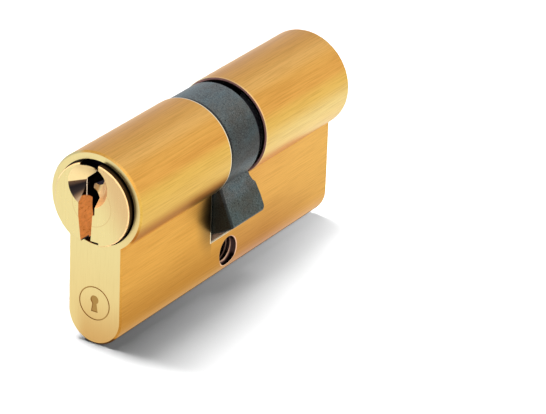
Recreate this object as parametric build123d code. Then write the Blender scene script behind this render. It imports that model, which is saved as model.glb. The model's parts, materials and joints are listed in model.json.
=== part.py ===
from build123d import *
import math
import os

# Double euro-profile lock cylinder, 31 mm + 31 mm, in millimetres.
# Frame: +Y runs along the barrel from the front half to the rear half, +Z is up,
# and the web with its pins hangs down along -Z. The origin is on the barrel's axis,
# in the plane of the fixing screw. The rear half is the front half turned half a turn
# about Z, so every place below is given for the front half, whose Y is negative.
# At rest both plugs stand at the key-entry angle and every pin stack is split at the
# shear line, as the right keys would hold it.

# housing
HALF_LENGTH = 31.0
BARREL_R = 8.5
WEB_WIDTH = 10.0
PROFILE_HEIGHT = 33.0
FACE_CHAMFER = 0.3
EDGE_BREAK = 0.12
MATCH_MARGIN = 0.01
CUTOUT_HALF = 5.25
CUTOUT_FLOOR_Z = -15.4
FIXING_Z = -19.0
FIXING_R = 2.5
FIXING_MOUTH_R = 2.65
FACE_RECESS_R = 7.2
FACE_RECESS_DEPTH = 1.8
CLIP_RECESS_R = 7.7
CLIP_RECESS_DEPTH = 1.1
MARK_Z = -17.4
MARK_R = 2.9
MARK_LINE = 0.2
MARK_DEPTH = 0.1
MARK_EYE_R = 0.75
MARK_EYE_RISE = 0.6
MARK_LEG = [(-0.32, 0.6), (0.32, 0.6), (0.62, -1.5), (-0.62, -1.5)]

# plug
PLUG_R = 6.5
PLUG_BORE_R = 6.54
BOSS_R = 6.95
BOSS_STANDS_OUT = 1.2
BOSS_CHAMFER = 0.15
FLANGE_R = 7.1
FLANGE_THICKNESS = 0.8
SEAT_GAP = 0.05
COLLAR_R = 6.4
TAIL_R = 5.6
TAIL_START = 5.15
TAIL_END = 0.85
TOP_NOTCH = (-2.27, 1.13, 6.15)
BOTTOM_NOTCH = (-1.62, 1.38, -6.15)
ENTRY_X = -0.77
ENTRY_Z = 3.0
ENTRY_R = 3.65
ENTRY_DEPTH = 3.2
ENTRY_SLOPE = 0.85
KEYWAY_END = 7.2
KEYWAY_OUTLINE = [
    (0.58, 5.95),
    (0.58, 3.4),
    (-1.52, 2.15),
    (-1.37, 1.65),
    (0.58, 0.9),
    (0.58, -1.6),
    (0.18, -1.8),
    (-0.17, -7.3),
    (-1.87, -7.3),
    (-2.47, -2.4),
    (-2.47, 3.15),
    (-0.87, 4.55),
    (-0.32, 5.95),
]

# retaining clip
CLIP_THICKNESS = 0.64
CLIP_GROOVE_WIDTH = 0.7
CLIP_GROOVE_R = 5.75
CLIP_INNER_R = 5.8
CLIP_OUTER_R = 7.4
CLIP_MOUTH_DEG = 50

# pin chambers
CHAMBERS = 5
CHAMBER_FIRST = 5.5
CHAMBER_PITCH = 3.8
CHAMBER_R = 1.5
CHAMBER_TOP_Z = 2.4
PIN_R = 1.44
PIN_CHAMFER = 0.25
PIN_TIP_R = 0.45
PIN_TIP_HEIGHT = 0.9
KEY_PIN_FOOT_Z = -6.28
DRIVER_PIN_TOP_Z = -6.56
DRIVER_PIN_LENGTH = 5.0
PLUG_SLUG_TOP_Z = -21.5
BITTING = {"front": (4.2, 5.4, 4.8, 6.0, 5.1), "rear": (5.7, 4.5, 5.1, 4.2, 5.4)}

# pin springs
SPRING_MEAN_R = 1.0
SPRING_WIRE_R = 0.17
SPRING_TURNS = 8
SPRING_END_GAP = 0.08

# cam
CAM_RING_R = 8.25
CAM_TIP_R = 15.0
CAM_WIDTH = 10.0
CAM_RING_REAR_Y = 3.5
CAM_LOBE_HALF = 3.55
CAM_LOBE_SHOULDER = [(3.5, -8.2), (3.95, -9.2), (4.5, -9.7), (5.0, -13.6)]
CAM_TIP_FRONT_ROUND = 0.3
CAM_TIP_REAR_ROUND = 0.8
CAM_EDGE = 0.2
CAM_REST_DEG = 22.5
CAM_BORE_R = 5.66
CAM_RELIEF_R = 6.75
CAM_RELIEF_END = 2.35
CAM_DRIVE_HALF = 0.75
CAM_SLOT_HALF = 1.6

# coupling
COUPLING_HALF_WIDTH = 1.5
COUPLING_CORE_R = 4.5
COUPLING_WING_R = 6.5
COUPLING_WING_HALF = 0.7
COUPLING_CORE_END = 5.2
COUPLING_STROKE = 1.5
TAIL_SLOT_HALF = 1.6
TAIL_CORE_R = 4.6
COUPLING_HOLE_R = 1.0
COUPLING_HOLE_DEPTH = 3.0
COUPLING_SPRING_MEAN_R = 0.72
COUPLING_SPRING_WIRE_R = 0.16
COUPLING_SPRING_TURNS = 7

# values that follow from the dimensions above
WEB_HALF = WEB_WIDTH / 2
WEB_ROUND_Z = BARREL_R - PROFILE_HEIGHT + WEB_HALF
FLANGE_BACK = HALF_LENGTH - FACE_RECESS_DEPTH + SEAT_GAP
FLANGE_FRONT = FLANGE_BACK + FLANGE_THICKNESS
BOSS_FACE = HALF_LENGTH + BOSS_STANDS_OUT
CLIP_GROOVE_START = CUTOUT_HALF + CLIP_RECESS_DEPTH
CLIP_GROOVE_END = CLIP_GROOVE_START - CLIP_GROOVE_WIDTH
CHAMBER_STATIONS = [HALF_LENGTH - CHAMBER_FIRST - CHAMBER_PITCH * i for i in range(CHAMBERS)]
REAR_TURN = Rot(0, 0, 180)


def y_disc(radius, y_from, y_to):
    """A round solid along Y between two stations."""
    middle = (y_from + y_to) / 2
    return Pos(0, middle, 0) * Rot(90, 0, 0) * Cylinder(radius, abs(y_to - y_from))


def z_disc(radius, y, z_from, z_to):
    """A round solid along Z at one chamber's station."""
    return Pos(0, y, (z_from + z_to) / 2) * Cylinder(radius, abs(z_to - z_from))


def block(x_range, y_range, z_range):
    """A box between the given limits."""
    spans = (x_range, y_range, z_range)
    middle = [(low + high) / 2 for low, high in spans]
    return Pos(*middle) * Box(*[high - low for low, high in spans])


def y_prism(outline, y_from, y_to):
    """An XZ face carried along Y between two stations."""
    return extrude(Plane.XZ.offset(-y_from) * outline, y_to - y_from, dir=(0, 1, 0))


def euro_profile():
    """The standard key-hole shape: a round barrel and a round-bottomed web."""
    web = Pos(0, WEB_ROUND_Z / 2) * Rectangle(WEB_WIDTH, -WEB_ROUND_Z)
    return Circle(BARREL_R) + web + Pos(0, WEB_ROUND_Z) * Circle(WEB_HALF)


def make_housing():
    """The brass body: two halves joined by the bridge that takes the fixing screw."""
    body = y_prism(euro_profile(), -HALF_LENGTH, HALF_LENGTH)
    ends = body.faces().filter_by(Axis.Y).edges()
    body = chamfer(ends, FACE_CHAMFER)
    side = BARREL_R + 1
    body -= block((-side, side), (-CUTOUT_HALF, CUTOUT_HALF), (CUTOUT_FLOOR_Z, side))
    body = chamfer(cutout_rims(body), EDGE_BREAK)
    body -= y_disc(PLUG_BORE_R, -HALF_LENGTH - 1, HALF_LENGTH + 1)
    half = y_disc(FACE_RECESS_R, -HALF_LENGTH - 1, -HALF_LENGTH + FACE_RECESS_DEPTH)
    half += y_disc(CLIP_RECESS_R, -CLIP_GROOVE_START, -CUTOUT_HALF + 1)
    for station in CHAMBER_STATIONS:
        half += z_disc(CHAMBER_R, -station, 0, -PROFILE_HEIGHT)
    body -= half
    body -= REAR_TURN * half
    return body - fixing_hole() - face_mark()


def cutout_rims(body):
    """The outer edges of the cut-out, apart from those where its walls meet its floor."""
    reach = CUTOUT_HALF + MATCH_MARGIN
    walls = body.faces().filter_by(Plane.XZ).filter_by_position(Axis.Y, -reach, reach)
    floor_range = (CUTOUT_FLOOR_Z - MATCH_MARGIN, CUTOUT_FLOOR_Z + MATCH_MARGIN)
    floor = body.faces().filter_by(Plane.XY).filter_by_position(Axis.Z, *floor_range)
    return walls.edges().filter_by(Axis.X, reverse=True) + floor.edges().filter_by(Axis.Y)


def face_mark():
    """A shallow generic mark on the front face: a ring round a keyhole."""
    mark = Circle(MARK_R) - Circle(MARK_R - MARK_LINE)
    mark += Pos(0, MARK_EYE_RISE) * Circle(MARK_EYE_R) + Polygon(*MARK_LEG, align=None)
    return y_prism(Pos(0, MARK_Z) * mark, -HALF_LENGTH - 1, -HALF_LENGTH + MARK_DEPTH)


def fixing_hole():
    """The cross hole for the M5 fixing screw, with a small chamfer at each mouth."""
    hole = Rot(0, 90, 0) * Cylinder(FIXING_R, WEB_WIDTH + 2)
    depth = FIXING_MOUTH_R - FIXING_R
    for side in (-1, 1):
        mouth = Cone(FIXING_MOUTH_R, FIXING_R, depth)
        hole += Pos(side * (WEB_HALF - depth / 2), 0, 0) * Rot(0, -90 * side, 0) * mouth
    return Pos(0, 0, FIXING_Z) * hole


def keyway():
    """The warded key slot, its conical entry and the two notches in the boss."""
    outline = make_face(Polyline(KEYWAY_OUTLINE, close=True))
    cut = y_prism(outline, -BOSS_FACE - 1, -KEYWAY_END)
    entry = Cone(ENTRY_R, ENTRY_R - ENTRY_SLOPE * ENTRY_DEPTH, ENTRY_DEPTH)
    entry_middle = -BOSS_FACE + ENTRY_DEPTH / 2
    cut += Pos(ENTRY_X, entry_middle, ENTRY_Z) * Rot(-90, 0, 0) * entry
    past = FLANGE_R + 1
    left, right, low = TOP_NOTCH
    cut += block((left, right), (-BOSS_FACE - 1, -FLANGE_FRONT), (low, past))
    left, right, high = BOTTOM_NOTCH
    return cut + block((left, right), (-BOSS_FACE - 1, -FLANGE_FRONT), (-past, high))


def make_plug():
    """The front rotor: boss, flange, pin barrel, clip groove, collar and slotted tail."""
    plug = y_disc(BOSS_R, -BOSS_FACE, -FLANGE_FRONT)
    rim = plug.faces().sort_by(Axis.Y)[0].edges()
    plug = chamfer(rim, BOSS_CHAMFER)
    plug += y_disc(FLANGE_R, -FLANGE_FRONT, -FLANGE_BACK)
    plug += y_disc(PLUG_R, -FLANGE_BACK, -CLIP_GROOVE_START)
    plug += y_disc(CLIP_GROOVE_R, -CLIP_GROOVE_START, -CLIP_GROOVE_END)
    plug += y_disc(COLLAR_R, -CLIP_GROOVE_END, -TAIL_START)
    plug += y_disc(TAIL_R, -TAIL_START, -TAIL_END)
    plug -= keyway()
    for station in CHAMBER_STATIONS:
        plug -= z_disc(CHAMBER_R, -station, -PLUG_R - 1, CHAMBER_TOP_Z)
    return plug - tail_slot()


def tail_slot():
    """The slot that the coupling slides in: full width at the tail's end, then a core."""
    slot_x = (-TAIL_SLOT_HALF, TAIL_SLOT_HALF)
    high = TAIL_R + 1
    across = block(slot_x, (-CAM_RELIEF_END, 0), (-high, high))
    core = block(slot_x, (-KEYWAY_END, 0), (-high, high))
    return across + (core & y_disc(TAIL_CORE_R, -KEYWAY_END, 0))


def make_clip():
    """The open spring-steel ring that holds the plug in its half."""
    back = -CLIP_GROOVE_START + (CLIP_GROOVE_WIDTH - CLIP_THICKNESS) / 2
    ring = y_disc(CLIP_OUTER_R, back, back + CLIP_THICKNESS)
    ring -= y_disc(CLIP_INNER_R, back - 1, back + CLIP_THICKNESS + 1)
    half_mouth = CLIP_OUTER_R * math.tan(math.radians(CLIP_MOUTH_DEG / 2))
    reach = 2 * CLIP_OUTER_R
    mouth = Polygon((0, 0), (-2 * half_mouth, reach), (2 * half_mouth, reach), align=None)
    return ring - y_prism(mouth, back - 1, back + CLIP_THICKNESS + 1)


def make_key_pin(station, length):
    """A key pin: flat foot at the shear line, pointed tip towards the key."""
    foot = KEY_PIN_FOOT_Z
    shank_top = foot + length - PIN_TIP_HEIGHT
    shank = z_disc(PIN_R, -station, foot, shank_top)
    shank = chamfer(shank.faces().sort_by(Axis.Z)[0].edges(), PIN_CHAMFER)
    tip = Cone(PIN_R, PIN_TIP_R, PIN_TIP_HEIGHT)
    return shank + Pos(0, -station, shank_top + PIN_TIP_HEIGHT / 2) * tip


def make_driver_pin(station):
    """A driver pin: a chamfered slug just below the shear line."""
    top = DRIVER_PIN_TOP_Z
    pin = z_disc(PIN_R, -station, top - DRIVER_PIN_LENGTH, top)
    return chamfer(pin.edges().filter_by(GeomType.CIRCLE), PIN_CHAMFER)


def make_coil(mean_r, wire_r, turns, height):
    """A compression spring along Z whose wire stays between 0 and the given height."""
    run = height - 2 * wire_r
    path = Helix(run / turns, run, mean_r)
    section = Plane(path @ 0, z_dir=path % 0) * Circle(wire_r)
    return Pos(0, 0, wire_r) * sweep(section, path, is_frenet=True)


def make_pin_spring(station):
    """The spring between a driver pin and the slug that closes its chamber."""
    low = PLUG_SLUG_TOP_Z + SPRING_END_GAP
    high = DRIVER_PIN_TOP_Z - DRIVER_PIN_LENGTH - SPRING_END_GAP
    coil = make_coil(SPRING_MEAN_R, SPRING_WIRE_R, SPRING_TURNS, high - low)
    return Pos(0, -station, low) * coil


def make_chamber_plug(station):
    """The pressed slug that closes a chamber, turned to the web's round bottom."""
    slug = z_disc(CHAMBER_R, -station, PLUG_SLUG_TOP_Z, -PROFILE_HEIGHT)
    reach = 2 * CHAMBER_R
    return slug & y_prism(euro_profile(), -station - reach, -station + reach)


def make_lobe():
    """The cam's lobe, hanging along -Z, with a rear shoulder that widens to the tip."""
    front = -CAM_WIDTH / 2
    rear = CAM_WIDTH / 2
    outline = [(front, -CAM_TIP_R), (front, 0), (CAM_RING_REAR_Y, 0), *CAM_LOBE_SHOULDER]
    outline.append((rear, -CAM_TIP_R))
    lobe = extrude(Plane.YZ * make_face(Polyline(outline, close=True)), CAM_LOBE_HALF, both=True)
    lobe &= y_disc(CAM_TIP_R, front, rear)
    ends = lobe.edges().filter_by(GeomType.CIRCLE).sort_by(Axis.Y)
    lobe = fillet(ends[-1], CAM_TIP_REAR_ROUND)
    near_front = (front - MATCH_MARGIN, front + MATCH_MARGIN)
    ends = lobe.edges().filter_by(GeomType.CIRCLE).filter_by_position(Axis.Y, *near_front)
    lobe = fillet(ends, CAM_TIP_FRONT_ROUND)
    sides = lobe.faces().filter_by(Plane.YZ).edges().filter_by(Axis.Z)
    return chamfer(sides.filter_by_position(Axis.Y, *near_front), CAM_EDGE)


def make_cam():
    """The cam: a ring that turns on both tails, and the lobe that throws the bolt."""
    front = -CAM_WIDTH / 2
    rear = CAM_WIDTH / 2
    ring = y_disc(CAM_RING_R, front, CAM_RING_REAR_Y)
    cam = chamfer(ring.edges().filter_by(GeomType.CIRCLE), CAM_EDGE) + make_lobe()
    cam -= y_disc(CAM_BORE_R, front - 1, rear + 1)
    cam -= y_disc(CAM_RELIEF_R, -CAM_RELIEF_END, -CAM_DRIVE_HALF)
    cam -= y_disc(CAM_RELIEF_R, CAM_DRIVE_HALF, CAM_RELIEF_END)
    slots = block((-CAM_SLOT_HALF, CAM_SLOT_HALF), (front - 1, rear + 1), (-BARREL_R, BARREL_R))
    slots &= y_disc(CAM_RELIEF_R, front - 1, rear + 1)
    return Rot(0, -CAM_REST_DEG, 0) * cam - slots


def make_coupling():
    """A clutch half: a core that slides in the tail and wings that drive the cam."""
    x_range = (-COUPLING_HALF_WIDTH, COUPLING_HALF_WIDTH)
    z_range = (-COUPLING_WING_R, COUPLING_WING_R)
    front = -COUPLING_CORE_END
    rear = COUPLING_WING_HALF
    core = block(x_range, (front, rear), z_range) & y_disc(COUPLING_CORE_R, front, rear)
    wings = block(x_range, (-rear, rear), z_range) & y_disc(COUPLING_WING_R, -rear, rear)
    return core + wings - y_disc(COUPLING_HOLE_R, rear - COUPLING_HOLE_DEPTH, rear + 1)


def make_coupling_spring():
    """The light spring that lies in the blind holes of the two coupling halves."""
    low = COUPLING_WING_HALF - COUPLING_HOLE_DEPTH + SPRING_END_GAP
    high = COUPLING_STROKE - low
    coil = make_coil(
        COUPLING_SPRING_MEAN_R,
        COUPLING_SPRING_WIRE_R,
        COUPLING_SPRING_TURNS,
        high - low,
    )
    return Pos(0, low, 0) * Rot(-90, 0, 0) * coil


def save(name, shape):
    """Write one node's STEP."""
    export_step(shape, f"parts/{name}.step")


def save_half(side, place):
    """Write the plug, clip and pin stacks of one half."""
    save(f"{side}_plug", place * make_plug())
    save(f"{side}_retaining_clip", place * make_clip())
    for number, station in enumerate(CHAMBER_STATIONS, 1):
        length = BITTING[side][number - 1]
        save(f"{side}_key_pin_{number}", place * make_key_pin(station, length))
        save(f"{side}_driver_pin_{number}", place * make_driver_pin(station))
        save(f"{side}_pin_spring_{number}", place * make_pin_spring(station))
        save(f"{side}_chamber_plug_{number}", place * make_chamber_plug(station))


os.makedirs("parts", exist_ok=True)
save("housing", make_housing())
save_half("front", Pos(0, 0, 0))
save_half("rear", REAR_TURN)
save("cam", make_cam())
save("front_coupling", make_coupling())
save("rear_coupling", Pos(0, COUPLING_STROKE, 0) * REAR_TURN * make_coupling())
save("coupling_spring", make_coupling_spring())
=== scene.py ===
import json
import math

import bpy
from mathutils import Matrix, Vector


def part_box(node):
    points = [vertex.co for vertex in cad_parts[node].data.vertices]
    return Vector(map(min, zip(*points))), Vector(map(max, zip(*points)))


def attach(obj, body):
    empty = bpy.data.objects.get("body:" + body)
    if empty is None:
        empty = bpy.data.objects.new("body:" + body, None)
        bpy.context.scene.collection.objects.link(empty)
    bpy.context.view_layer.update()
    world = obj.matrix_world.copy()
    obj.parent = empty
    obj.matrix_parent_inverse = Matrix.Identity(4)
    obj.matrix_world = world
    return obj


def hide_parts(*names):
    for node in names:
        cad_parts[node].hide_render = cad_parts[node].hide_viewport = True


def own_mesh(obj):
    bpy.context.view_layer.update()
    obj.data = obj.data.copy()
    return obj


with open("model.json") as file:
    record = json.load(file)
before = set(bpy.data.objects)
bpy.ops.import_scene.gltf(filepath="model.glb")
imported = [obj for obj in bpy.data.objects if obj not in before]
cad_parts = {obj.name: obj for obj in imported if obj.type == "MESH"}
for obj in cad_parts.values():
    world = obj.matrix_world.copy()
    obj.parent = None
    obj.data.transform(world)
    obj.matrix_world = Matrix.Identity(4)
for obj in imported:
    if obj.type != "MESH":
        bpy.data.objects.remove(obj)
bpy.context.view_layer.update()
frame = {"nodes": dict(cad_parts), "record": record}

# Looks for a double euro-profile lock cylinder. Metres, in the CAD frame: +Y runs from
# the front face to the rear face, +Z is up, and the camera stands at +X, -Y, +Z.

MM = 0.001
NODES = frame["nodes"]
HOUSING_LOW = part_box("housing")[0]
FLOOR_Z = HOUSING_LOW.z
FACE_Y = HOUSING_LOW.y

# the plug's face: its boss, the recess round it, and the cone at the key slot's mouth, whose
# sector of painted dark reflection is given in radians
PLUG_REACH = -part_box("front_plug")[0].y
BOSS_RADIUS = 6.95 * MM
TURNED_RING = 3.6 * MM
RECESS_RADIUS = 7.2 * MM
ENTRY_X = -0.77 * MM
ENTRY_Z = 3.0 * MM
CONE_ARC_DEPTH = (1.6 * MM, 0.9 * MM)
CONE_RIGHT = (0.2 * MM, 1.2 * MM)
CONE_DARK_SECTOR = (-1.2, -1.5, -3.08, -3.12)
BOSS_FACE_DEPTH = (0.5 * MM, 0.2 * MM)
BOSS_RIM_DEPTH = (0.1 * MM, 0.3 * MM)
BOSS_SIDE_DEPTH = (2.4 * MM, 2.2 * MM)

# the slot's left wall: how far across and how deep it is lit, and the line between its orange and
# its brown painted shadow, whose height falls by SLOT_LINE_FALL times the depth squared; a painted
# highlight runs along one edge, and deeper in the wall takes painted shade
SLOT_ACROSS = (0.7 * MM, 0.5 * MM)
SLOT_LOW_DEPTH = (3.95 * MM, 3.8 * MM)
SLOT_HIGH_DEPTH = (2.45 * MM, 2.38 * MM)
SLOT_EDGE_DEPTH = (2.18 * MM, 2.25 * MM)
SLOT_LINE = (0.78 * MM, 0.62 * MM)
SLOT_LINE_FALL = 94.0

# the cut-out for the cam, and where its walls' painted shadow next to the ring gives way to
# painted shade
CUT_HALF = 5.25 * MM
CUT_FLOOR_Z = -15.4 * MM
CUT_WALL_RADII = (7.95 * MM, 8.1 * MM)
CUT_DEPTH = (8 * MM, 6 * MM)

# how squarely a flat face looks along an axis, and the cone at the key slot's mouth
FLAT_FACING = (0.8, 0.95)
CONE_FACING = (0.5, 0.6, 0.75, 0.85)

# the housing's outer surface, as distances from the barrel's axis and from the web's middle
BARREL_SKIN_RADII = (8.1 * MM, 8.3 * MM)
BARREL_SKIN_Z = (-7.2 * MM, -6.9 * MM)
WEB_SKIN_X = (4.83 * MM, 4.9 * MM)

# where the side's tones lie, most of them painted highlights and painted shade: over a pair a tone
# comes in, over four it comes in and goes again
STREAK_Z = (6.2 * MM, 7.3 * MM, 7.6 * MM, 8.3 * MM)
FLANK_X = (7.4 * MM, 8.3 * MM)
PALE_Y = (-18 * MM, 22 * MM)
PALE_Z = (2.2 * MM, -1.5 * MM)
PALE_FOOT_Z = (-4.4 * MM, -2.3 * MM)
PALE_END_Y = (12 * MM, 26 * MM)
PALE_END_DROP = 2.4 * MM
BROWN_Z = (-1.0 * MM, -4.2 * MM, -4.6 * MM, -5.8 * MM)
BROWN_Y = (0.0, -4 * MM)
WEB_Z = (-6.0 * MM, -7.5 * MM)
WEB_REAR_Y = (-8 * MM, 30 * MM)
WEB_TINT_Z = (-8.5 * MM, -12.0 * MM)
WEB_LOW_Z = (-11.5 * MM, -21 * MM)
WEB_LOW_END_Y = (10 * MM, 31 * MM)
FOOT_Z = (-22.3 * MM, -22.9 * MM)
SHEEN_LOW_Z = (0.5 * MM, -3.5 * MM)
SHEEN_REAR_Y = (-4 * MM, 4 * MM)

# the painted shade beside the cam's lobe: its middle on the web and on the barrel, how far it
# reaches, and where it stops
LOBE_SHADE_Y = -5.3 * MM
LOBE_SHADE_WEB_Z = -10.2 * MM
LOBE_SHADE_BARREL_Z = -5.4 * MM
LOBE_SHADE_REACH = (5.6 * MM, 0.4 * MM)
LOBE_SHADE_RAGGED = 0.8 * MM
LOBE_SHADE_SIDE_X = (4.6 * MM, 4.9 * MM)
LOBE_SHADE_HALF_Y = (-5.1 * MM, -5.2 * MM)

# where the end face's tones come in, painted shade and a painted highlight on the left chamfer
# among them, and the height below which its mark lies
FACE_LOW_Z = (-5 * MM, -19 * MM)
FACE_SIDE_X = (3 * MM, 8 * MM)
FACE_RIGHT_X = (-1 * MM, 2 * MM)
FACE_FOOT_Z = (-14.5 * MM, -25 * MM)
FACE_FOOT_X = (-4.6 * MM, -1.5 * MM)
FACE_LEFT_X = (-1 * MM, -5 * MM)
MARK_Z = (-13 * MM, -14 * MM)

# the cam's painted highlight on its top, painted shade on its waist, its lobe and the edge of its
# front end
CAM_TOP_Z = (3.5 * MM, 7.5 * MM)
CAM_WAIST_Z = 1.2 * MM
CAM_WAIST_REACH = (5.5 * MM, 2.0 * MM)
CAM_LOBE_Z = (-7.5 * MM, -9.0 * MM)
CAM_RIM_Y = (-4.45 * MM, -4.6 * MM)

# the fixing-screw hole and its thread
HOLE_Z = -19 * MM
HOLE_RADIUS = 2.5 * MM
THREAD_CREST = 2.1 * MM
THREAD_PITCH = 0.8 * MM
THREAD_REACH = 4.55 * MM
THREAD_STEPS = 56
THREAD_HALF_ROOT = 0.42 * THREAD_PITCH
THREAD_HALF_FLAT = 0.06 * THREAD_PITCH
THREAD_BRIGHT_X = (2.6 * MM, 4.4 * MM)

# camera: direction, tilt and distance, with the point it looks at given in its own plane
CAMERA_AZIMUTH = 31.09
CAMERA_ELEVATION = 25.03
CAMERA_ROLL = 2.21
CAMERA_DISTANCE = 557.0 * MM
CAMERA_RIGHT = 10.9 * MM
CAMERA_UP = -11.3 * MM
CAMERA_LENS = 227.7
SENSOR_WIDTH = 36.0

# the surroundings as the metal reflects them, from left to right, above and below eye level
SKY_TONES = ((0.5, (0.80, 0.82, 0.88, 1)), (0.75, (1.04, 1.03, 1.0, 1)))
GROUND_TONES = ((0.25, (1.26, 1.26, 1.26, 1)), (0.75, (1.02, 1.02, 1.02, 1)))

# the floor and its light: an even fill, and a strip of soft suns a little to +Y, each with
# its lean from the vertical in degrees and its strength
FLOOR_HALF = 1.5
FLOOR_WHITE = (0.93, 0.93, 0.93, 1)
FLOOR_FILL = (0.045, 0.045, 0.045, 1)
SUN_STRIP = ((-4, 0.7), (10, 1.7), (26, 1.9), (44, 1.25))
SUN_BEHIND = 0.04
SUN_SPREAD = 20.0
REAR_FILL_PLACE = (0.041, 0.050, 0.0)
REAR_FILL_TARGET = (0.010, 0.018, FLOOR_Z)
REAR_FILL_SIZE = 0.03
REAR_FILL_POWER = 0.032

# light on the brass alone: one into the key slot and the cut-out, one along the edges
SLOT_LIGHT_FROM = (0.35, -0.85, 0.40)
SLOT_LIGHT_POWER = 6.0
EDGE_LIGHT_PLACE = (0.30, -0.36, 0.33)
EDGE_LIGHT_SIZE = 0.35
EDGE_LIGHT_POWER = 0.25


# ---------------------------------------------------------------- shader helpers


def add(tree, kind, inputs=(), **settings):
    """One shader node with its settings; an input is a socket to link or a plain value."""
    made = tree.nodes.new(kind)
    for name, value in settings.items():
        setattr(made, name, value)
    for name, value in dict(inputs).items():
        if isinstance(value, bpy.types.NodeSocket):
            tree.links.new(value, made.inputs[name])
        else:
            made.inputs[name].default_value = value
    return made


def new_material(name, **constants):
    """A material with one Principled shader, whose constants are set on its own sockets."""
    material = bpy.data.materials.new(name)
    material.use_nodes = True
    shader = material.node_tree.nodes["Principled BSDF"]
    for socket, value in constants.items():
        shader.inputs[socket.replace("_", " ").title()].default_value = value
    return material, material.node_tree, shader


def math_node(tree, operation, *values):
    """A Math node's result."""
    made = add(tree, "ShaderNodeMath", dict(enumerate(values)), operation=operation)
    return made.outputs[0]


def times(tree, first, *others):
    """The product of several values, such as masks."""
    for other in others:
        first = math_node(tree, "MULTIPLY", first, other)
    return first


def less(tree, mask, share):
    """1 where a mask is 0, down to 1 - share where it is 1."""
    return math_node(tree, "MULTIPLY_ADD", mask, -share, 1.0)


def off_from(tree, value, middle):
    """How far a value lies from a middle, to either side."""
    return math_node(tree, "ABSOLUTE", math_node(tree, "SUBTRACT", value, middle))


def band(tree, value, low, high):
    """0 below low, 1 above high, smooth between; low may be above high to turn it round."""
    made = add(
        tree,
        "ShaderNodeMapRange",
        {"Value": value, "From Min": low, "From Max": high},
        interpolation_type="SMOOTHSTEP",
    )
    return made.outputs["Result"]


def window(tree, value, start, full, fall, end):
    """1 from full to fall, 0 before start and after end, smooth between."""
    return times(tree, band(tree, value, start, full), band(tree, value, end, fall))


def grain(tree, place, scale, detail=3.0, roughness=0.6):
    """A noise value whose features are 1 / scale metres along each axis."""
    stretched = add(tree, "ShaderNodeMapping", {"Vector": place, "Scale": scale})
    noise = add(
        tree,
        "ShaderNodeTexNoise",
        {"Vector": stretched.outputs[0], "Scale": 1.0, "Detail": detail, "Roughness": roughness},
    )
    return noise.outputs["Fac"]


def blend_colors(tree, factor, first, second, blend_type="MIX"):
    """The mix of two colours."""
    made = tree.nodes.new("ShaderNodeMix")
    made.data_type = "RGBA"
    made.blend_type = blend_type
    for index, value in ((0, factor), (6, first), (7, second)):
        if isinstance(value, bpy.types.NodeSocket):
            tree.links.new(value, made.inputs[index])
        else:
            made.inputs[index].default_value = value
    return made.outputs[2]


def tinted(tree, factor, color, tint):
    """A colour multiplied by a tint, where the factor is 1."""
    return blend_colors(tree, factor, color, tint, "MULTIPLY")


def ramp(tree, value, *stops):
    """A colour ramp through (position, colour) stops."""
    made = add(tree, "ShaderNodeValToRGB", {"Fac": value})
    elements = made.color_ramp.elements
    elements[0].position, elements[0].color = stops[0]
    elements[1].position, elements[1].color = stops[-1]
    for position, color in stops[1:-1]:
        elements.new(position).color = color
    return made.outputs["Color"]


def bump(tree, height, strength, distance):
    """A bump normal from a height value."""
    inputs = {"Height": height, "Strength": strength, "Distance": distance}
    return add(tree, "ShaderNodeBump", inputs).outputs[0]


# ---------------------------------------------------------------- materials

# the housing's sides
SIDE_GOLD = (0.80, 0.42, 0.088, 1)
SIDE_DEEP = (0.75, 0.375, 0.073, 1)
# painted highlights on the barrel: a pale streak high up, yellow flanks, pale low at the rear
SIDE_STREAK_HIGHLIGHT = (0.88, 0.50, 0.135, 1)
SIDE_FLANK_HIGHLIGHT = (0.80, 0.50, 0.10, 1)
SIDE_PALE_HIGHLIGHT = (0.90, 0.68, 0.24, 1)
# painted shade deepening towards the web's foot
WEB_LOW_SHADE = (0.53, 0.235, 0.036, 1)
# painted shade low on the barrel's front half
SIDE_BROWN_SHADE = (0.42, 0.14, 0.02, 1)
# painted highlight on the web towards the rear
WEB_REAR_HIGHLIGHT = (0.84, 0.475, 0.10, 1)
BRUSH_DARK = (0.82, 0.76, 0.64, 1)
BRUSH_LIGHT = (1.05, 1.06, 1.08, 1)
WEB_TINT = (1.0, 1.0, 0.97, 1)
FOOT_SHADE = (0.12, 0.05, 0.015, 1)
# painted highlight along the cut-out's edges
EDGE_HIGHLIGHT = (0.95, 0.84, 0.62, 1)
# painted shade and reflection of the cam's dark lobe, beside the cut-out
LOBE_SHADE = (0.04, 0.033, 0.028, 1)
# painted highlight on the fixing hole's mouth and painted shade on its wall
HOLE_MOUTH_HIGHLIGHT = (0.9, 0.55, 0.36, 1)
HOLE_WALL_SHADE = (0.035, 0.018, 0.016, 1)

# the painted sheen at a grazing look, its tint set by place, from the barrel's top down to the
# web's foot, where it is dark as painted contact shadow
SHEEN_TOP = (0.86, 0.88, 0.98, 1)
SHEEN_LOW = (1.0, 0.93, 0.68, 1)
SHEEN_REAR = (0.95, 0.88, 0.88, 1)
SHEEN_FOOT = (0.08, 0.06, 0.05, 1)

# the end faces, of the housing and of the plugs
FACE_PALE = (0.72, 0.60, 0.275, 1)
# painted shade on the end faces: warmer low and right, amber at the foot
FACE_WARM_SHADE = (0.70, 0.54, 0.23, 1)
FACE_FOOT_SHADE = (0.56, 0.33, 0.11, 1)
FACE_SCRATCH = (0.88, 0.85, 0.8, 1)
MARK_BROWN = (0.36, 0.21, 0.06, 1)
# painted shade warming the plug's face up and to the right
PLUG_WARM_SHADE = (0.63, 0.43, 0.20, 1)
PLUG_SCRATCH = (0.9, 0.87, 0.82, 1)
PLUG_RING = (0.5, 0.3, 0.12, 1)
# painted highlight on the boss's rim and painted shade on its side
RIM_HIGHLIGHT = (0.60, 0.36, 0.16, 1)
BOSS_SIDE_SHADE = (0.05, 0.03, 0.022, 1)
SHADE = (0.02, 0.017, 0.026, 1)
UNTOUCHED = (1, 1, 1, 1)
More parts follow.
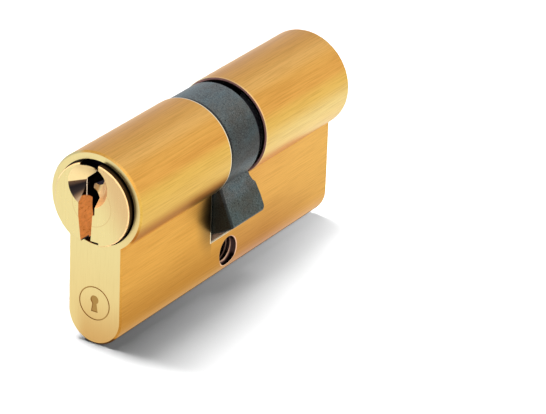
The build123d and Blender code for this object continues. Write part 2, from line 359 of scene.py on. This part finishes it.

# the cut-out, the key slot and the cone at its mouth
# painted shade on the cut-out's walls, darker as painted shadow next to the ring
CUT_WALL_SHADE = (0.15, 0.075, 0.068, 1)
CUT_PINK = (0.42, 0.26, 0.17, 1)
CUT_RING_SHADOW = (0.03, 0.018, 0.015, 1)
SLOT_ORANGE = (0.60, 0.19, 0.036, 1)
SLOT_RUBBED = (0.7, 0.62, 0.5, 1)
# painted shadow on the slot's upper wall, and a painted highlight along its edge
SLOT_SHADOW = (0.10, 0.035, 0.02, 1)
SLOT_EDGE_HIGHLIGHT = (0.95, 0.72, 0.50, 1)
CONE_PALE = (0.50, 0.37, 0.17, 1)
# painted reflections on the cone: warmer to the right, an orange arc, dark streaks
CONE_RIGHT_REFLECTION = (0.66, 0.40, 0.18, 1)
CONE_REFLECTED_ARC = (0.58, 0.28, 0.10, 1)
CONE_REFLECTED_STREAKS = (
    (0.02, (0.16, 0.085, 0.045, 1)),
    (0.10, (0.10, 0.06, 0.04, 1)),
    (0.20, (0.018, 0.014, 0.016, 1)),
    (0.42, (0.03, 0.022, 0.02, 1)),
    (0.52, (0.15, 0.09, 0.055, 1)),
    (0.66, (0.50, 0.34, 0.20, 1)),
)

# the cam
CAM_DARK = (0.035, 0.042, 0.046, 1)
CAM_GREY = (0.20, 0.225, 0.23, 1)
CAM_PORE = (0.01, 0.01, 0.012, 1)
CAM_BLUE = (0.80, 1.0, 1.05, 1)
CAM_PLAIN = (0.88, 0.92, 0.90, 1)
CAM_RUSTY = (0.80, 0.70, 0.62, 1)
# painted highlight on the cam's top, painted shade on its lobe and front end
CAM_TOP_HIGHLIGHT = (0.05, 0.06, 0.06, 1)
CAM_SHADE = (0.56, 0.53, 0.51, 1)
CAM_LOBE_SHADE = (0.70, 0.72, 0.66, 1)
CAM_END_SHADE = (0.35, 0.33, 0.32, 1)

# the pins, the springs and clips, and the clutch, each dark to light
PIN_TONES = ((0.60, 0.38, 0.12, 1), (0.85, 0.62, 0.25, 1))
STEEL_TONES = ((0.35, 0.35, 0.36, 1), (0.6, 0.6, 0.6, 1))
SINTER_TONES = ((0.2, 0.2, 0.21, 1), (0.38, 0.38, 0.39, 1))

# the thread
THREAD_SHADE = (0.04, 0.02, 0.02, 1)
COPPER_DARK = (0.55, 0.27, 0.17, 1)
COPPER_LIGHT = (0.95, 0.62, 0.42, 1)

# noise scales along x, y and z, in features per metre: long streaks where one is small
BRUSH_FINE = (5600, 110, 5600)
BRUSH_WIDE = (330, 28, 330)
LAP = (11000, 11000, 180)
SLOT_WEAR = (2600, 1200, 2600)
CAM_FINE = (4200, 4200, 4200)
CAM_WIDE = (260, 160, 260)
TARNISH = (2400, 2400, 2400)
RINGS = (600, 600, 6000)


def grain_places(tree):
    """A node's own place and normal, split into their parts."""
    places = tree.nodes.new("ShaderNodeTexCoord")
    place = places.outputs["Object"]
    x, y, z = add(tree, "ShaderNodeSeparateXYZ", {0: place}).outputs
    normal = add(tree, "ShaderNodeSeparateXYZ", {0: places.outputs["Normal"]}).outputs
    return place, (x, y, z), normal


def away_from(tree, first, second, first_middle, second_middle):
    """The distance from a straight line that lies along the third axis."""
    across = math_node(tree, "SUBTRACT", first, first_middle)
    along = math_node(tree, "SUBTRACT", second, second_middle)
    squares = math_node(tree, "MULTIPLY", across, across)
    squares = math_node(tree, "MULTIPLY_ADD", along, along, squares)
    return math_node(tree, "SQRT", squares)


def barrel_tones(tree, side, x, y, z):
    """The barrel's long soft bands of painted light: a pale streak high up and yellow flanks as
    painted highlights, paler to the rear on the lower half as a painted highlight, and brown
    painted shade low at the front.
    """
    streak = window(tree, z, *STREAK_Z)
    side = blend_colors(tree, times(tree, streak, 0.8), side, SIDE_STREAK_HIGHLIGHT)
    round_side = band(tree, math_node(tree, "ABSOLUTE", x), *FLANK_X)
    side = blend_colors(tree, round_side, side, SIDE_FLANK_HIGHLIGHT)
    rear = band(tree, y, *PALE_Y)
    lower_half = band(tree, z, *PALE_Z)
    drop = math_node(tree, "MULTIPLY_ADD", band(tree, y, *PALE_END_Y), PALE_END_DROP, z)
    above_web = band(tree, drop, *PALE_FOOT_Z)
    side = blend_colors(tree, times(tree, lower_half, rear, above_web), side, SIDE_PALE_HIGHLIGHT)
    brown = window(tree, z, *BROWN_Z)
    brown = times(tree, brown, band(tree, y, *BROWN_Y), 0.95)
    return blend_colors(tree, brown, side, SIDE_BROWN_SHADE)


def web_tones(tree, side, y, z):
    """The web's painted shade grows deeper orange towards its foot, and its painted highlight
    paler towards the rear; slightly yellower below.
    """
    rear = band(tree, y, *WEB_REAR_Y)
    on_web = band(tree, z, *WEB_Z)
    side = blend_colors(tree, times(tree, on_web, rear), side, WEB_REAR_HIGHLIGHT)
    tint = tinted(tree, 1.0, side, WEB_TINT)
    side = blend_colors(tree, band(tree, z, *WEB_TINT_Z), side, tint)
    low = less(tree, band(tree, y, *WEB_LOW_END_Y), 0.75)
    low = times(tree, low, band(tree, z, *WEB_LOW_Z))
    return blend_colors(tree, low, side, WEB_LOW_SHADE)


def lobe_shade(tree, color, x, y, z, ragged):
    """Painted shade and reflection of the dark cam lobe, spread from the cam over the front half's
    web and barrel.
    """
    along = math_node(tree, "SUBTRACT", y, LOBE_SHADE_Y)
    below = times(tree, math_node(tree, "SUBTRACT", z, LOBE_SHADE_WEB_Z), 0.6)
    web_reach = away_from(tree, along, below, 0.0, 0.0)
    under = times(tree, math_node(tree, "SUBTRACT", z, LOBE_SHADE_BARREL_Z), 2.6)
    barrel_reach = away_from(tree, times(tree, along, 0.55), under, 0.0, 0.0)
    reach = math_node(tree, "MINIMUM", web_reach, barrel_reach)
    reach = math_node(tree, "MULTIPLY_ADD", ragged, LOBE_SHADE_RAGGED, reach)
    spread = band(tree, reach, *LOBE_SHADE_REACH)
    lobe_side = band(tree, x, *LOBE_SHADE_SIDE_X)
    front_half = band(tree, y, *LOBE_SHADE_HALF_Y)
    spread = times(tree, spread, lobe_side, front_half, 0.93)
    return blend_colors(tree, spread, color, LOBE_SHADE)


def face_tones(tree, x, z, depth, end_face, lap):
    """The housing's end faces: pale, with painted shade warmer low and right and amber at the
    foot, scratched, mark filled.
    """
    lower = band(tree, z, *FACE_LOW_Z)
    right = band(tree, math_node(tree, "ABSOLUTE", x), *FACE_SIDE_X)
    right = times(tree, right, band(tree, x, *FACE_RIGHT_X))
    face = blend_colors(tree, math_node(tree, "MAXIMUM", lower, right), FACE_PALE, FACE_WARM_SHADE)
    foot = times(tree, band(tree, z, *FACE_FOOT_Z), band(tree, x, *FACE_FOOT_X))
    face = blend_colors(tree, foot, face, FACE_FOOT_SHADE)
    scratch = ramp(tree, lap, (0.3, FACE_SCRATCH), (0.5, UNTOUCHED))
    face = tinted(tree, 0.5, face, scratch)
    engraved = band(tree, depth, -FACE_Y - 0.02 * MM, -FACE_Y - 0.06 * MM)
    engraved = times(tree, engraved, end_face, band(tree, z, *MARK_Z))
    return blend_colors(tree, engraved, face, MARK_BROWN)


def cut_tones(tree, color, z, up_normal, depth, from_axis, flat_end):
    """The cut-out's matt walls, brown with painted shade and darker next to the ring as painted
    shadow, and its pink floor; and how matt each place is.
    """
    beyond_ring = band(tree, from_axis, *CUT_WALL_RADII)
    wall = blend_colors(tree, beyond_ring, CUT_RING_SHADOW, CUT_WALL_SHADE)
    in_cut = times(tree, flat_end, band(tree, depth, *CUT_DEPTH))
    color = blend_colors(tree, in_cut, color, wall)
    cut_floor = band(tree, off_from(tree, z, CUT_FLOOR_Z), 0.15 * MM, 0.1 * MM)
    cut_floor = times(tree, cut_floor, band(tree, up_normal, *FLAT_FACING))
    color = blend_colors(tree, cut_floor, color, CUT_PINK)
    return color, math_node(tree, "MAXIMUM", cut_floor, times(tree, in_cut, beyond_ring))


def edge_highlight(tree, color, x, y, z, from_axis, flat_end):
    """A painted highlight along the edge round the cut-out, on the outer surface only, weaker at
    the rear.
    """
    on_web = band(tree, math_node(tree, "ABSOLUTE", x), *WEB_SKIN_X)
    on_barrel = band(tree, from_axis, *BARREL_SKIN_RADII)
    on_barrel = times(tree, on_barrel, band(tree, z, *BARREL_SKIN_Z))
    outside = math_node(tree, "MAXIMUM", on_web, on_barrel)
    edge = off_from(tree, y, -0.07 * MM)
    edge = band(tree, edge, CUT_HALF + 0.26 * MM, CUT_HALF + 0.18 * MM)
    above_floor = band(tree, z, CUT_FLOOR_Z - 0.3 * MM, CUT_FLOOR_Z - 0.1 * MM)
    weaker = less(tree, band(tree, y, -1 * MM, 1 * MM), 0.75)
    wear_and_highlight = times(tree, edge, outside, above_floor, less(tree, flat_end, 1.0), weaker)
    return blend_colors(tree, wear_and_highlight, color, EDGE_HIGHLIGHT)


def recess_and_hole(tree, color, y, z, depth, from_axis):
    """The shaded recess round the plug, and the fixing hole's mouth with a painted highlight and
    its wall with painted shade.
    """
    recess = band(tree, from_axis, RECESS_RADIUS + 0.25 * MM, RECESS_RADIUS + 0.1 * MM)
    recess = times(tree, recess, band(tree, depth, -FACE_Y, -FACE_Y - 0.35 * MM))
    color = blend_colors(tree, recess, color, SHADE)
    from_hole = away_from(tree, y, z, 0.0, HOLE_Z)
    mouth = band(tree, from_hole, HOLE_RADIUS + 0.22 * MM, HOLE_RADIUS + 0.12 * MM)
    color = blend_colors(tree, mouth, color, HOLE_MOUTH_HIGHLIGHT)
    bore = band(tree, from_hole, HOLE_RADIUS + 0.05 * MM, HOLE_RADIUS + 0.02 * MM)
    return blend_colors(tree, bore, color, HOLE_WALL_SHADE)


def brass_body():
    """Brushed orange brass along the barrel, paler lapped brass on the end faces, with painted
    highlights, sheen and shade over both.
    """
    material, tree, shader = new_material("body_brass", metallic=1.0, anisotropic=0.5)
    place, (x, y, z), normal = grain_places(tree)
    facing = math_node(tree, "ABSOLUTE", normal[1])
    depth = math_node(tree, "ABSOLUTE", y)
    from_axis = away_from(tree, x, z, 0.0, 0.0)
    flat_end = band(tree, facing, *FLAT_FACING)
    # the chamfer on the left takes the end face's pale colour, a painted highlight
    left_edge = times(tree, band(tree, x, *FACE_LEFT_X), -0.25)
    end_face = band(tree, math_node(tree, "SUBTRACT", facing, left_edge), 0.75, 0.9)
    brush_fine = grain(tree, place, BRUSH_FINE, 4.0, 0.7)
    brush_wide = grain(tree, place, BRUSH_WIDE, 2.0)
    lap = grain(tree, place, LAP, 2.0)

    side = ramp(tree, brush_wide, (0.35, SIDE_DEEP), (0.6, SIDE_GOLD))
    side = barrel_tones(tree, side, x, y, z)
    side = web_tones(tree, side, y, z)
    streaks = ramp(tree, brush_fine, (0.36, BRUSH_DARK), (0.56, BRUSH_LIGHT))
    side = tinted(tree, 0.7, side, streaks)
    face = face_tones(tree, x, z, depth, end_face, lap)
    color = blend_colors(tree, end_face, side, face)
    # painted contact shadow along the web's foot, on the sides only
    foot_side = times(tree, band(tree, z, *FOOT_Z), band(tree, end_face, 1.0, 0.0))
    color = blend_colors(tree, times(tree, foot_side, 0.9), color, FOOT_SHADE)
    color, matt = cut_tones(tree, color, z, normal[2], depth, from_axis, flat_end)
    # painted shade beside the cam's lobe
    color = lobe_shade(tree, color, x, y, z, brush_wide)
    color = edge_highlight(tree, color, x, y, z, from_axis, flat_end)
    color = recess_and_hole(tree, color, y, z, depth, from_axis)
    tree.links.new(color, shader.inputs["Base Color"])
    tree.links.new(less(tree, matt, 0.5), shader.inputs["Metallic"])

    # painted sheen: the reflection's tint set by place, bluish on top, yellow low at the front,
    # pinkish low at the rear, dark at the web's foot as painted contact shadow
    low_sheen = blend_colors(tree, band(tree, y, *SHEEN_REAR_Y), SHEEN_LOW, SHEEN_REAR)
    sheen = blend_colors(tree, band(tree, z, *SHEEN_LOW_Z), SHEEN_TOP, low_sheen)
    sheen = blend_colors(tree, foot_side, sheen, SHEEN_FOOT)
    tree.links.new(sheen, shader.inputs["Specular Tint"])
    rough = math_node(tree, "MULTIPLY_ADD", brush_fine, 0.1, 0.34)
    rough = math_node(tree, "MULTIPLY_ADD", end_face, -0.08, rough)
    rough = math_node(tree, "MULTIPLY_ADD", foot_side, 0.5, rough)
    tree.links.new(rough, shader.inputs["Roughness"])
    lines = add(tree, "ShaderNodeMix", {0: end_face, 2: brush_fine, 3: lap}).outputs[0]
    tree.links.new(bump(tree, lines, 0.09, 0.00006), shader.inputs["Normal"])
    tangent = add(tree, "ShaderNodeTangent", direction_type="RADIAL", axis="Y").outputs[0]
    tree.links.new(tangent, shader.inputs["Tangent"])
    return material


def key_entry(tree, across, up, depth):
    """The cone at the key slot's mouth, in painted reflections: dark streaks in one sector, pale
    above and right, warmer to the right, an orange arc; and where it is lit."""
    right = math_node(tree, "SUBTRACT", across, ENTRY_X)
    above = math_node(tree, "SUBTRACT", up, ENTRY_Z)
    angle = math_node(tree, "ARCTAN2", above, right)
    spokes = add(tree, "ShaderNodeCombineXYZ", {0: angle}).outputs[0]
    streak = grain(tree, spokes, (14, 1, 1), 4.0, 0.7)
    turned = math_node(tree, "MULTIPLY_ADD", angle, 2 / math.pi, 2.0)
    turned = math_node(tree, "SUBTRACT", turned, 0.07)
    turned = math_node(tree, "MULTIPLY_ADD", streak, 0.14, turned)
    dark = ramp(tree, turned, *CONE_REFLECTED_STREAKS)
    rim = band(tree, depth, *CONE_ARC_DEPTH)
    to_right = band(tree, right, *CONE_RIGHT)
    bright = blend_colors(tree, to_right, CONE_PALE, CONE_RIGHT_REFLECTION)
    bright = blend_colors(tree, times(tree, rim, to_right), bright, CONE_REFLECTED_ARC)
    sector = window(tree, angle, *CONE_DARK_SECTOR)
    return blend_colors(tree, sector, bright, dark), less(tree, sector, 1.0)


def slot_wall(tree, place, across, across_normal, up, depth):
    """The slot's left wall: orange with rubbed wear below, a brown painted shadow above it, one
    painted highlight along an edge, painted shade deeper in and where it faces away; and how lit.
    """
    wear = grain(tree, place, SLOT_WEAR)
    rubbed = ramp(tree, wear, (0.3, SLOT_RUBBED), (0.6, UNTOUCHED))
    wear_and_highlight = tinted(tree, 1.0, SLOT_ORANGE, rubbed)
    faces_right = band(tree, across_normal, 0.5, 0.8)
    faces_right = times(tree, faces_right, band(tree, across, *SLOT_ACROSS))
    line = times(tree, depth, depth)
    line = math_node(tree, "MULTIPLY_ADD", line, SLOT_LINE_FALL, up)
    below = band(tree, line, *SLOT_LINE)
    low_reach = band(tree, depth, *SLOT_LOW_DEPTH)
    high_reach = band(tree, depth, *SLOT_HIGH_DEPTH)
    edge = times(tree, high_reach, band(tree, depth, *SLOT_EDGE_DEPTH))
    upper = blend_colors(tree, edge, SLOT_SHADOW, SLOT_EDGE_HIGHLIGHT)
    upper = blend_colors(tree, high_reach, SHADE, upper)
    lower = blend_colors(tree, low_reach, SHADE, wear_and_highlight)
    wall = blend_colors(tree, below, upper, lower)
    lit = math_node(tree, "MAXIMUM", times(tree, below, low_reach), edge)
    lit = times(tree, lit, faces_right)
    return blend_colors(tree, faces_right, SHADE, wall), lit, wear


def brass_plug():
    """The rotor's brass: pale turned face warming with painted shade up and to the right, a
    painted highlight on the boss's rim over painted shade down its side, shaded groove, orange key
    slot wall with rubbed wear and painted shade.
    """
    material, tree, shader = new_material("plug_brass", metallic=1.0)
    place, (x, y, z), normal = grain_places(tree)
    half = math_node(tree, "SIGN", y)
    across = times(tree, x, half, -1.0)
    across_normal = times(tree, normal[0], half, -1.0)
    facing = math_node(tree, "ABSOLUTE", normal[1])
    depth = math_node(tree, "SUBTRACT", PLUG_REACH, math_node(tree, "ABSOLUTE", y))
    end_face = band(tree, facing, *FLAT_FACING)
    lap = grain(tree, place, LAP, 2.0)
    lean = math_node(tree, "MULTIPLY_ADD", z, 0.6, across)
    face = blend_colors(tree, band(tree, lean, 0.0, 7 * MM), FACE_PALE, PLUG_WARM_SHADE)
    scratch = ramp(tree, lap, (0.3, PLUG_SCRATCH), (0.5, UNTOUCHED))
    face = tinted(tree, 0.5, face, scratch)
    from_axis = away_from(tree, across, z, 0.0, 0.0)
    turned = band(tree, off_from(tree, from_axis, TURNED_RING), 0.11 * MM, 0.03 * MM)
    face = blend_colors(tree, times(tree, turned, 0.35), face, PLUG_RING)
    wall, lit, wear = slot_wall(tree, place, across, across_normal, z, depth)
    cone = window(tree, facing, *CONE_FACING)
    entry, entry_lit = key_entry(tree, across, z, depth)
    wall = blend_colors(tree, cone, wall, entry)
    # painted highlight at the boss's rim over painted shade down its side
    rim = band(tree, from_axis, BOSS_RADIUS - 0.25 * MM, BOSS_RADIUS - 0.15 * MM)
    rim = times(tree, rim, band(tree, depth, *BOSS_SIDE_DEPTH))
    boss_side = blend_colors(tree, band(tree, depth, *BOSS_RIM_DEPTH), RIM_HIGHLIGHT, BOSS_SIDE_SHADE)
    wall = blend_colors(tree, rim, wall, boss_side)
    on_boss = times(tree, end_face, band(tree, depth, *BOSS_FACE_DEPTH))
    tree.links.new(blend_colors(tree, on_boss, wall, face), shader.inputs["Base Color"])
    tree.links.new(math_node(tree, "MULTIPLY_ADD", wear, 0.1, 0.24), shader.inputs["Roughness"])
    in_slot = less(tree, math_node(tree, "MAXIMUM", cone, on_boss), 1.0)
    matt = math_node(tree, "MULTIPLY_ADD", entry_lit, cone, times(tree, lit, in_slot))
    tree.links.new(less(tree, matt, 0.85), shader.inputs["Metallic"])
    tree.links.new(bump(tree, lap, 0.06, 0.00004), shader.inputs["Normal"])
    return material


def cam_steel():
    """Dark phosphated sintered steel: blue-grey, matt and finely mottled, with pores; a painted
    highlight on its top, painted shade on its waist, lobe, end faces and front edge.
    """
    material, tree, shader = new_material("cam_steel", metallic=0.85)
    place, (_, y, z), normal = grain_places(tree)
    mottle = grain(tree, place, CAM_FINE, 5.0, 0.85)
    broad = grain(tree, place, CAM_WIDE, 4.0, 0.65)
    color = ramp(tree, mottle, (0.38, CAM_DARK), (0.62, CAM_GREY))
    tone = ramp(tree, broad, (0.36, CAM_RUSTY), (0.52, CAM_PLAIN), (0.66, CAM_BLUE))
    color = tinted(tree, 1.0, color, tone)
    top = times(tree, band(tree, z, *CAM_TOP_Z), 0.45)
    color = blend_colors(tree, top, color, CAM_TOP_HIGHLIGHT, "ADD")
    waist = band(tree, off_from(tree, z, CAM_WAIST_Z), *CAM_WAIST_REACH)
    color = tinted(tree, waist, color, CAM_SHADE)
    on_lobe = band(tree, z, *CAM_LOBE_Z)
    color = blend_colors(tree, on_lobe, color, tinted(tree, 1.0, color, CAM_LOBE_SHADE))
    end = band(tree, normal[1], -0.5, -0.8)
    rim = band(tree, y, *CAM_RIM_Y)
    color = tinted(tree, math_node(tree, "MAXIMUM", end, rim), color, CAM_END_SHADE)
    pores = add(tree, "ShaderNodeTexVoronoi", {"Vector": place, "Scale": 900.0})
    pore = band(tree, pores.outputs["Distance"], 0.13, 0.06)
    color = blend_colors(tree, pore, color, CAM_PORE)
    tree.links.new(color, shader.inputs["Base Color"])
    tree.links.new(math_node(tree, "MULTIPLY_ADD", mottle, 0.25, 0.36), shader.inputs["Roughness"])
    tree.links.new(bump(tree, mottle, 0.25, 0.00008), shader.inputs["Normal"])
    return material


def thread_metal():
    """Cut thread: coppery crests near the hole's mouths; painted shade on the roots and on the
    thread deeper in the hole.
    """
    material, tree, shader = new_material("thread_brass", metallic=1.0, roughness=0.28)
    place, (x, y, z), _ = grain_places(tree)
    from_hole = away_from(tree, y, z, 0.0, HOLE_Z)
    crest = band(tree, from_hole, HOLE_RADIUS - 0.1 * MM, THREAD_CREST + 0.05 * MM)
    inside = band(tree, math_node(tree, "ABSOLUTE", x), *THREAD_BRIGHT_X)
    tarnish = grain(tree, place, TARNISH)
    copper = ramp(tree, tarnish, (0.35, COPPER_DARK), (0.65, COPPER_LIGHT))
    # painted shade everywhere but on the crests near the mouths
    color = blend_colors(tree, times(tree, crest, inside), THREAD_SHADE, copper)
    tree.links.new(color, shader.inputs["Base Color"])
    tree.links.new(bump(tree, tarnish, 0.1, 0.00003), shader.inputs["Normal"])
    return material


def turned_metal(name, dark, light, roughness):
    """A small turned or drawn part, with fine bands of tone across Z."""
    material, tree, shader = new_material(name, metallic=1.0, roughness=roughness)
    place = tree.nodes.new("ShaderNodeTexCoord").outputs["Object"]
    rings = grain(tree, place, RINGS)
    tree.links.new(ramp(tree, rings, (0.3, dark), (0.7, light)), shader.inputs["Base Color"])
    tree.links.new(bump(tree, rings, 0.15, 0.00004), shader.inputs["Normal"])
    return material


def floor_material():
    """Plain white paper."""
    material, _, shader = new_material("floor_white", roughness=0.9)
    shader.inputs["Base Color"].default_value = FLOOR_WHITE
    shader.inputs["Specular IOR Level"].default_value = 0.0
    return material


def paint_all():
    """Each CAD node gets the finish of what it is made of."""
    body, plug, cam = brass_body(), brass_plug(), cam_steel()
    pin = turned_metal("pin_brass", *PIN_TONES, 0.3)
    steel = turned_metal("spring_steel", *STEEL_TONES, 0.3)
    sinter = turned_metal("coupling_steel", *SINTER_TONES, 0.5)
    finishes = (
        ("coupling_spring", steel),
        ("_coupling", sinter),
        ("_spring_", steel),
        ("_clip", steel),
        ("chamber_plug", body),
        ("_pin_", pin),
        ("_plug", plug),
        ("housing", body),
        ("cam", cam),
    )
    for name, node in NODES.items():
        material = next(finish for part, finish in finishes if part in name)
        node.data.materials.clear()
        node.data.materials.append(material)


# ---------------------------------------------------------------- pieces


def make_thread():
    """The internal thread: a helical ridge, a triangle in section, along the fixing hole."""
    turns = 2 * THREAD_REACH / THREAD_PITCH - 1
    count = int(turns * THREAD_STEPS) + 1
    root = HOLE_RADIUS + 0.03 * MM
    points = []
    for step in range(count):
        turn = 2 * math.pi * step / THREAD_STEPS
        middle = -THREAD_REACH + THREAD_PITCH * (0.5 + step / THREAD_STEPS)
        rise = min(1.0, step / THREAD_STEPS * 2, (count - 1 - step) / THREAD_STEPS * 2)
        crest = root + (THREAD_CREST - root) * max(rise, 0.08)
        section = (
            (-THREAD_HALF_ROOT, root),
            (-THREAD_HALF_FLAT, crest),
            (THREAD_HALF_FLAT, crest),
            (THREAD_HALF_ROOT, root),
        )
        for along, radius in section:
            across, up = radius * math.cos(turn), radius * math.sin(turn)
            points.append((middle + along, across, HOLE_Z + up))
    faces = [(0, 1, 2, 3), tuple(4 * (count - 1) + corner for corner in (3, 2, 1, 0))]
    for step in range(count - 1):
        for corner in range(4):
            after = (corner + 1) % 4
            here, there = 4 * step, 4 * step + 4
            faces.append((here + after, here + corner, there + corner, there + after))
    mesh = bpy.data.meshes.new("fixing_thread")
    mesh.from_pydata(points, [], faces)
    mesh.materials.append(thread_metal())
    mesh.update()
    thread = bpy.data.objects.new("fixing_thread", mesh)
    bpy.context.collection.objects.link(thread)
    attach(thread, "housing")


def make_pin_springs():
    """The pin springs, which in the lock shorten as their driver pins push them down: each
    deforming spring becomes a copy with its own mesh, fixed to the housing, in place of the hidden
    CAD part.
    """
    for joint in frame["record"]["behaviour"]["joints"]:
        for deforming in joint.get("deforming_nodes", ()):
            name = deforming["node"]
            spring = bpy.data.objects.new(name + "_wire", NODES[name].data.copy())
            bpy.context.collection.objects.link(spring)
            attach(spring, "housing")
            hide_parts(name)
            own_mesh(spring)


# ---------------------------------------------------------------- stage


def make_floor():
    """A large pale floor under the web."""
    signs = ((-1, -1), (1, -1), (1, 1), (-1, 1))
    corners = [(x * FLOOR_HALF, y * FLOOR_HALF, FLOOR_Z) for x, y in signs]
    mesh = bpy.data.meshes.new("floor")
    mesh.from_pydata(corners, [], [(0, 1, 2, 3)])
    floor = bpy.data.objects.new("floor", mesh)
    bpy.context.collection.objects.link(floor)
    mesh.materials.append(floor_material())
    floor.visible_glossy = False


def make_world():
    """Soft studio surroundings for the metal to reflect, and a weak even fill for the floor."""
    world = bpy.data.worlds.new("studio")
    bpy.context.scene.world = world
    world.use_nodes = True
    tree = world.node_tree
    direction = tree.nodes.new("ShaderNodeTexCoord").outputs["Generated"]
    side, _, height = add(tree, "ShaderNodeSeparateXYZ", {0: direction}).outputs
    turned = math_node(tree, "MULTIPLY_ADD", side, 0.5, 0.5)
    upper = ramp(tree, turned, *SKY_TONES)
    lower = ramp(tree, turned, *GROUND_TONES)
    sky = blend_colors(tree, band(tree, height, 0.02, -0.10), upper, lower)
    fill = tree.nodes.new("ShaderNodeLightPath").outputs["Is Diffuse Ray"]
    sky = blend_colors(tree, fill, sky, FLOOR_FILL)
    background = tree.nodes["Background"]
    tree.links.new(sky, background.inputs["Color"])
    background.inputs["Strength"].default_value = 1.0


def area_light(name, place, target, size, power):
    """A square soft box at a place, facing a target, all in metres and watts."""
    light = bpy.data.lights.new(name, "AREA")
    light.size = size
    light.energy = power
    holder = bpy.data.objects.new(name, light)
    holder.location = place
    holder.rotation_euler = (Vector(target) - Vector(place)).to_track_quat("-Z", "Y").to_euler()
    bpy.context.collection.objects.link(holder)
    return holder


def sun(name, direction, power, spread):
    """A soft sun in a direction, which no glossy surface reflects."""
    light = bpy.data.lights.new(name, "SUN")
    light.energy = power
    light.angle = math.radians(spread)
    light.cycles.use_multiple_importance_sampling = False
    holder = bpy.data.objects.new(name, light)
    holder.rotation_euler = (-Vector(direction)).to_track_quat("-Z", "Y").to_euler()
    holder.visible_glossy = False
    bpy.context.collection.objects.link(holder)
    return holder


def make_lights():
    """The strip of suns over the floor, two lights for the brass, and a fill at the rear."""
    for number, (lean, power) in enumerate(SUN_STRIP, 1):
        lean = math.radians(lean)
        direction = (-math.sin(lean), SUN_BEHIND, math.cos(lean))
        sun(f"floor_sun_{number}", direction, power, SUN_SPREAD)
    slot_light = sun("slot_light", SLOT_LIGHT_FROM, SLOT_LIGHT_POWER, SUN_SPREAD)
    edge_light = area_light(
        "edge_light", EDGE_LIGHT_PLACE, (0, 0, 0), EDGE_LIGHT_SIZE, EDGE_LIGHT_POWER
    )
    brass = bpy.data.collections.new("brass")
    for name in ("front_plug", "rear_plug", "housing"):
        brass.objects.link(NODES[name])
    slot_light.light_linking.receiver_collection = brass
    edge_light.light_linking.receiver_collection = brass
    rear_fill = area_light(
        "rear_fill", REAR_FILL_PLACE, REAR_FILL_TARGET, REAR_FILL_SIZE, REAR_FILL_POWER
    )
    rear_fill.visible_camera = False
    rear_fill.visible_glossy = False
    for node in NODES.values():
        node.visible_diffuse = False


def make_camera():
    """The camera at the fitted direction, distance and tilt."""
    azimuth = math.radians(CAMERA_AZIMUTH)
    elevation = math.radians(CAMERA_ELEVATION)
    roll = math.radians(CAMERA_ROLL)
    back = Vector(
        (
            math.sin(azimuth) * math.cos(elevation),
            -math.cos(azimuth) * math.cos(elevation),
            math.sin(elevation),
        )
    )
    level = Vector((math.cos(azimuth), math.sin(azimuth), 0))
    upright = back.cross(level)
    right = math.cos(roll) * level + math.sin(roll) * upright
    up = math.cos(roll) * upright - math.sin(roll) * level
    place = CAMERA_RIGHT * right + CAMERA_UP * up + CAMERA_DISTANCE * back
    camera = bpy.data.objects.new("camera", bpy.data.cameras.new("camera"))
    turn = Matrix((right, up, back)).transposed().to_4x4()
    camera.matrix_world = Matrix.Translation(place) @ turn
    camera.data.lens = CAMERA_LENS
    camera.data.sensor_width = SENSOR_WIDTH
    camera.data.clip_start = 0.01
    camera.data.clip_end = 10
    bpy.context.collection.objects.link(camera)
    bpy.context.scene.camera = camera


make_camera()
make_world()
make_lights()
make_floor()
paint_all()
make_thread()
make_pin_springs()
bpy.context.scene.view_settings.view_transform = "Standard"
